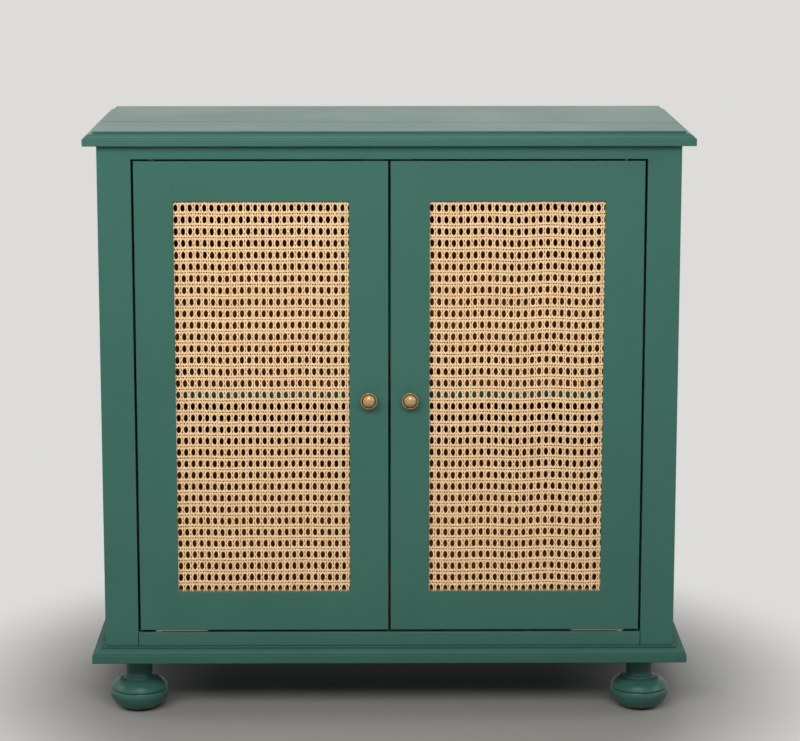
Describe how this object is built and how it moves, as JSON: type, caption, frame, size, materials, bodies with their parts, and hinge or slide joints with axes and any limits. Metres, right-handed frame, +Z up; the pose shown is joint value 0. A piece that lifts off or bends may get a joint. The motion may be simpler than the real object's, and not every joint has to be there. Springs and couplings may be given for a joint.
{
  "type": "record cabinet",
  "caption": "Low painted wooden record cabinet with moulded top and base boards, a loose shelf, hinged cane doors with round brass knobs, and turned bun feet.",
  "frame": {"origin": "on the floor, under the middle of the cabinet's whole box (the knobs included)", "axes": "+X to the cabinet's right as seen from the front, +Y to its back, +Z up; the doors face -Y"},
  "size_m": [0.9, 0.405, 0.896],
  "materials": {
    "paint": "satin grey-green paint over wood",
    "cane": "natural woven cane, lightly lacquered",
    "knob_brass": "antique brass, soft polish",
    "hinge_steel": "nickel-plated steel",
    "steel": "zinc-plated steel",
    "back_board": "brown-stained plywood",
    "felt": "dark felt",
    "catch_plastic": "brown moulded plastic",
    "magnet": "dark grey ferrite"
  },
  "bodies": {
    "cabinet": {"top_board": "paint", "base_board": "paint", "left_side_panel": "paint", "right_side_panel": "paint", "left_face_stile": "paint", "right_face_stile": "paint", "top_face_rail": "paint", "bottom_face_rail": "paint", "floor_panel": "paint", "record_shelf": "paint", "shelf_pins": "steel", "front_stretcher": "paint", "rear_stretcher": "paint", "back_panel": "back_board", "back_panel_screws": "steel", "front_left_foot": "paint", "front_right_foot": "paint", "rear_left_foot": "paint", "rear_right_foot": "paint", "foot_bolts": "steel", "foot_glides": "felt", "top_board_screws": "steel", "base_board_screws": "steel", "catch_housing": "catch_plastic", "catch_magnets": "magnet", "catch_screws": "steel", "left_upper_pivot": "hinge_steel", "right_upper_pivot": "hinge_steel", "left_lower_pivot": "hinge_steel", "right_lower_pivot": "hinge_steel", "pivot_washers": "hinge_steel", "pivot_screws": "hinge_steel"},
    "left_door": {"left_door_hinge_stile": "paint", "left_door_meeting_stile": "paint", "left_door_bottom_rail": "paint", "left_door_top_rail": "paint", "left_door_cane_panel": "cane", "left_door_cane_beads": "paint", "left_door_knob": "knob_brass", "left_door_knob_screw": "steel", "left_door_upper_leaf": "paint", "left_door_lower_leaf": "hinge_steel", "left_door_leaf_screws": "hinge_steel", "left_door_strike_plate": "steel", "left_door_strike_screw": "steel"},
    "right_door": {"right_door_hinge_stile": "paint", "right_door_meeting_stile": "paint", "right_door_bottom_rail": "paint", "right_door_top_rail": "paint", "right_door_cane_panel": "cane", "right_door_cane_beads": "paint", "right_door_knob": "knob_brass", "right_door_knob_screw": "steel", "right_door_upper_leaf": "paint", "right_door_lower_leaf": "hinge_steel", "right_door_leaf_screws": "hinge_steel", "right_door_strike_plate": "steel", "right_door_strike_screw": "steel"}
  },
  "joints": [
    {"name": "left_door_hinge", "type": "hinge", "parent": "cabinet", "child": "left_door", "pos_m": [-0.35, -0.1685, 0.494], "axis": [0, 0, -1], "range_deg": [0, 135]},
    {"name": "right_door_hinge", "type": "hinge", "parent": "cabinet", "child": "right_door", "pos_m": [0.35, -0.1685, 0.494], "axis": [0, 0, 1], "range_deg": [0, 135]}
  ]
}
